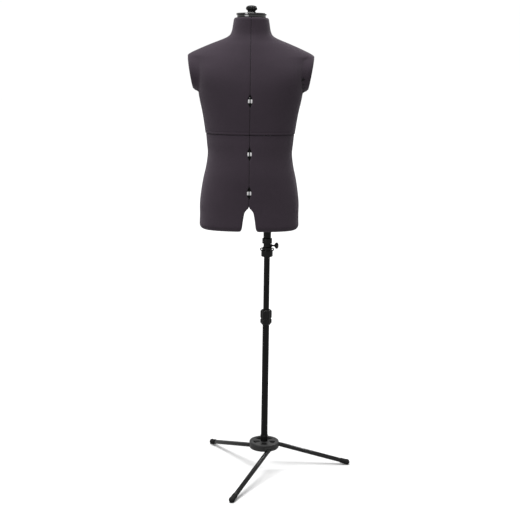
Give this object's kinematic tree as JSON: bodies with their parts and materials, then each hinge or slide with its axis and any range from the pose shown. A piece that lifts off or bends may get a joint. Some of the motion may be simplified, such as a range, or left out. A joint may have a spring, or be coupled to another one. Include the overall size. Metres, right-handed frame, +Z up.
{
  "type": "adjustable dress form",
  "caption": "Half-body male dress form with leg stumps: fabric-covered panels that spread by thumbwheels, on a telescopic pole with a folding tripod.",
  "frame": {"origin": "centre of the whole form's footprint, on the floor", "axes": "+Z up along the pole, front of the body towards -Y, +X to the right as seen from the front"},
  "size_m": [0.6239, 0.5802, 1.722],
  "materials": {
    "cover_fabric": "matte woven jersey, dark aubergine grey",
    "panel_plastic": "moulded panel shell, fine grain",
    "white_nylon": "natural white nylon",
    "wheel_plastic": "black knurled wheel",
    "gloss_black": "polished black",
    "black_plastic": "black moulded, satin",
    "pole_paint": "black powder coat",
    "hub_paint": "black satin enamel",
    "zinc_steel": "bright zinc plate",
    "rubber": "black rubber"
  },
  "bodies": {
    "base": {"hub": "hub_paint", "hub_screw": "zinc_steel", "leg_pins": "zinc_steel", "lower_tube": "pole_paint", "pole_bush": "black_plastic", "clamp_body": "black_plastic"},
    "clamp_nut": {"clamp_nut": "black_plastic"},
    "upper_pole": {"upper_tube": "pole_paint", "pole_head": "black_plastic"},
    "thumbscrew": {"thumbscrew": "black_plastic"},
    "core": {"body_spigot": "pole_paint", "body_post": "zinc_steel", "crosshead": "black_plastic", "neck_rod": "zinc_steel", "neck_cap": "gloss_black"},
    "neck_knob": {"neck_knob": "black_plastic"},
    "carriage": {"carriage": "black_plastic"},
    "leg_1": {"leg_1": "pole_paint", "foot_1": "rubber"},
    "leg_2": {"leg_2": "pole_paint", "foot_2": "rubber"},
    "leg_3": {"leg_3": "pole_paint", "foot_3": "rubber"},
    "upper_front_left": {"upper_front_left_shell": "panel_plastic", "upper_front_left_cover": "cover_fabric", "upper_front_left_fittings": "white_nylon"},
    "upper_front_right": {"upper_front_right_shell": "panel_plastic", "upper_front_right_cover": "cover_fabric", "upper_front_right_fittings": "white_nylon"},
    "upper_back_left": {"upper_back_left_shell": "panel_plastic", "upper_back_left_cover": "cover_fabric", "upper_back_left_fittings": "white_nylon"},
    "upper_back_right": {"upper_back_right_shell": "panel_plastic", "upper_back_right_cover": "cover_fabric", "upper_back_right_fittings": "white_nylon"},
    "lower_front_left": {"lower_front_left_shell": "panel_plastic", "lower_front_left_cover": "cover_fabric", "lower_front_left_fittings": "white_nylon"},
    "lower_front_right": {"lower_front_right_shell": "panel_plastic", "lower_front_right_cover": "cover_fabric", "lower_front_right_fittings": "white_nylon"},
    "lower_back_left": {"lower_back_left_shell": "panel_plastic", "lower_back_left_cover": "cover_fabric", "lower_back_left_fittings": "white_nylon"},
    "lower_back_right": {"lower_back_right_shell": "panel_plastic", "lower_back_right_cover": "cover_fabric", "lower_back_right_fittings": "white_nylon"},
    "chest_wheel_front": {"chest_wheel_front": "wheel_plastic"},
    "chest_wheel_back": {"chest_wheel_back": "wheel_plastic"},
    "chest_wheel_left": {"chest_wheel_left": "wheel_plastic"},
    "chest_wheel_right": {"chest_wheel_right": "wheel_plastic"},
    "waist_wheel_front": {"waist_wheel_front": "wheel_plastic"},
    "waist_wheel_back": {"waist_wheel_back": "wheel_plastic"},
    "waist_wheel_left": {"waist_wheel_left": "wheel_plastic"},
    "waist_wheel_right": {"waist_wheel_right": "wheel_plastic"},
    "hip_wheel_front": {"hip_wheel_front": "wheel_plastic"},
    "hip_wheel_back": {"hip_wheel_back": "wheel_plastic"},
    "hip_wheel_left": {"hip_wheel_left": "wheel_plastic"},
    "hip_wheel_right": {"hip_wheel_right": "wheel_plastic"}
  },
  "joints": [
    {"name": "leg_1_fold", "type": "hinge", "parent": "base", "child": "leg_1", "pos_m": [-0.00131, 0.06566, 0.0961], "axis": [-0.0588, 0.9983, 0], "range_deg": [0, 72]},
    {"name": "leg_2_fold", "type": "hinge", "parent": "base", "child": "leg_2", "pos_m": [-0.06378, 0.02607, 0.0961], "axis": [-0.8351, -0.5501, 0], "range_deg": [0, 72]},
    {"name": "leg_3_fold", "type": "hinge", "parent": "base", "child": "leg_3", "pos_m": [0.00175, -0.00824, 0.0961], "axis": [0.8939, -0.4482, 0], "range_deg": [0, 72]},
    {"name": "clamp_nut_turn", "type": "hinge", "parent": "base", "child": "clamp_nut", "pos_m": [-0.02111, 0.02783, 0.61], "axis": [0, 0, 1], "range_deg": [0, 180]},
    {"name": "pole_slide", "type": "slide", "parent": "base", "child": "upper_pole", "axis": [0, 0, 1], "range_m": [-0.185, 0.15]},
    {"name": "thumbscrew_turn", "type": "hinge", "parent": "upper_pole", "child": "thumbscrew", "pos_m": [-0.02111, 0.02783, 0.868], "axis": [1, 0, 0], "range_deg": [0, 720]},
    {"name": "torso_swivel", "type": "hinge", "parent": "upper_pole", "child": "core", "pos_m": [-0.02111, 0.02783, 0.9], "axis": [0, 0, 1], "continuous": true},
    {"name": "neck_knob_turn", "type": "hinge", "parent": "core", "child": "neck_knob", "pos_m": [-0.08811, 0.02783, 1.7], "axis": [0, 0, 1], "continuous": true},
    {"name": "torso_length", "type": "slide", "parent": "core", "child": "carriage", "axis": [0, 0, 1], "range_m": [-0.044, 0]},
    {"name": "chest_girth", "type": "slide", "parent": "core", "child": "upper_front_left", "axis": [-0.7071, -0.7071, 0], "range_m": [0, 0.028]},
    {"name": "upper_front_right_slide", "type": "slide", "parent": "core", "child": "upper_front_right", "axis": [0.7071, -0.7071, 0], "range_m": [0, 0.028]},
    {"name": "upper_back_left_slide", "type": "slide", "parent": "core", "child": "upper_back_left", "axis": [-0.7071, 0.7071, 0], "range_m": [0, 0.028]},
    {"name": "upper_back_right_slide", "type": "slide", "parent": "core", "child": "upper_back_right", "axis": [0.7071, 0.7071, 0], "range_m": [0, 0.028]},
    {"name": "hip_girth", "type": "slide", "parent": "carriage", "child": "lower_front_left", "axis": [-0.7071, -0.7071, 0], "range_m": [0, 0.028]},
    {"name": "lower_front_right_slide", "type": "slide", "parent": "carriage", "child": "lower_front_right", "axis": [0.7071, -0.7071, 0], "range_m": [0, 0.028]},
    {"name": "lower_back_left_slide", "type": "slide", "parent": "carriage", "child": "lower_back_left", "axis": [-0.7071, 0.7071, 0], "range_m": [0, 0.028]},
    {"name": "lower_back_right_slide", "type": "slide", "parent": "carriage", "child": "lower_back_right", "axis": [0.7071, 0.7071, 0], "range_m": [0, 0.028]},
    {"name": "chest_wheel_front_turn", "type": "hinge", "parent": "upper_front_left", "child": "chest_wheel_front", "pos_m": [-0.08811, -0.06342, 1.393], "axis": [1, 0, 0], "range_deg": [0, 1190]},
    {"name": "chest_wheel_back_turn", "type": "hinge", "parent": "upper_back_right", "child": "chest_wheel_back", "pos_m": [-0.08811, 0.11126, 1.393], "axis": [-1, 0, 0], "range_deg": [0, 1190]},
    {"name": "chest_wheel_left_turn", "type": "hinge", "parent": "upper_back_left", "child": "chest_wheel_left", "pos_m": [-0.24294, 0.02783, 1.393], "axis": [0, -1, 0], "range_deg": [0, 1190]},
    {"name": "chest_wheel_right_turn", "type": "hinge", "parent": "upper_back_right", "child": "chest_wheel_right", "pos_m": [0.06671, 0.02783, 1.393], "axis": [0, -1, 0], "range_deg": [0, 1190]},
    {"name": "waist_wheel_front_turn", "type": "hinge", "parent": "lower_front_left", "child": "waist_wheel_front", "pos_m": [-0.08811, -0.05218, 1.209], "axis": [1, 0, 0], "range_deg": [0, 1190]},
    {"name": "waist_wheel_back_turn", "type": "hinge", "parent": "lower_back_right", "child": "waist_wheel_back", "pos_m": [-0.08811, 0.08668, 1.209], "axis": [-1, 0, 0], "range_deg": [0, 1190]},
    {"name": "waist_wheel_left_turn", "type": "hinge", "parent": "lower_back_left", "child": "waist_wheel_left", "pos_m": [-0.21408, 0.02783, 1.209], "axis": [0, -1, 0], "range_deg": [0, 1190]},
    {"name": "waist_wheel_right_turn", "type": "hinge", "parent": "lower_back_right", "child": "waist_wheel_right", "pos_m": [0.03785, 0.02783, 1.209], "axis": [0, -1, 0], "range_deg": [0, 1190]},
    {"name": "hip_wheel_front_turn", "type": "hinge", "parent": "lower_front_left", "child": "hip_wheel_front", "pos_m": [-0.08811, -0.05001, 1.071], "axis": [1, 0, 0], "range_deg": [0, 1190]},
    {"name": "hip_wheel_back_turn", "type": "hinge", "parent": "lower_back_right", "child": "hip_wheel_back", "pos_m": [-0.08811, 0.12086, 1.071], "axis": [-1, 0, 0], "range_deg": [0, 1190]},
    {"name": "hip_wheel_left_turn", "type": "hinge", "parent": "lower_back_left", "child": "hip_wheel_left", "pos_m": [-0.2417, 0.02783, 1], "axis": [0, -1, 0], "range_deg": [0, 1190]},
    {"name": "hip_wheel_right_turn", "type": "hinge", "parent": "lower_back_right", "child": "hip_wheel_right", "pos_m": [0.06547, 0.02783, 1], "axis": [0, -1, 0], "range_deg": [0, 1190]}
  ],
  "couplings": [
    {"joint": "upper_front_right_slide", "follows": "chest_girth", "ratio": 1},
    {"joint": "upper_back_left_slide", "follows": "chest_girth", "ratio": 1},
    {"joint": "upper_back_right_slide", "follows": "chest_girth", "ratio": 1},
    {"joint": "lower_front_right_slide", "follows": "hip_girth", "ratio": 1},
    {"joint": "lower_back_left_slide", "follows": "hip_girth", "ratio": 1},
    {"joint": "lower_back_right_slide", "follows": "hip_girth", "ratio": 1},
    {"joint": "chest_wheel_front_turn", "follows": "chest_girth", "rad_per_m": 740.48},
    {"joint": "chest_wheel_back_turn", "follows": "chest_girth", "rad_per_m": 740.48},
    {"joint": "chest_wheel_left_turn", "follows": "chest_girth", "rad_per_m": 740.48},
    {"joint": "chest_wheel_right_turn", "follows": "chest_girth", "rad_per_m": 740.48},
    {"joint": "waist_wheel_front_turn", "follows": "hip_girth", "rad_per_m": 740.48},
    {"joint": "waist_wheel_back_turn", "follows": "hip_girth", "rad_per_m": 740.48},
    {"joint": "waist_wheel_left_turn", "follows": "hip_girth", "rad_per_m": 740.48},
    {"joint": "waist_wheel_right_turn", "follows": "hip_girth", "rad_per_m": 740.48},
    {"joint": "hip_wheel_front_turn", "follows": "hip_girth", "rad_per_m": 740.48},
    {"joint": "hip_wheel_back_turn", "follows": "hip_girth", "rad_per_m": 740.48},
    {"joint": "hip_wheel_left_turn", "follows": "hip_girth", "rad_per_m": 740.48},
    {"joint": "hip_wheel_right_turn", "follows": "hip_girth", "rad_per_m": 740.48}
  ]
}
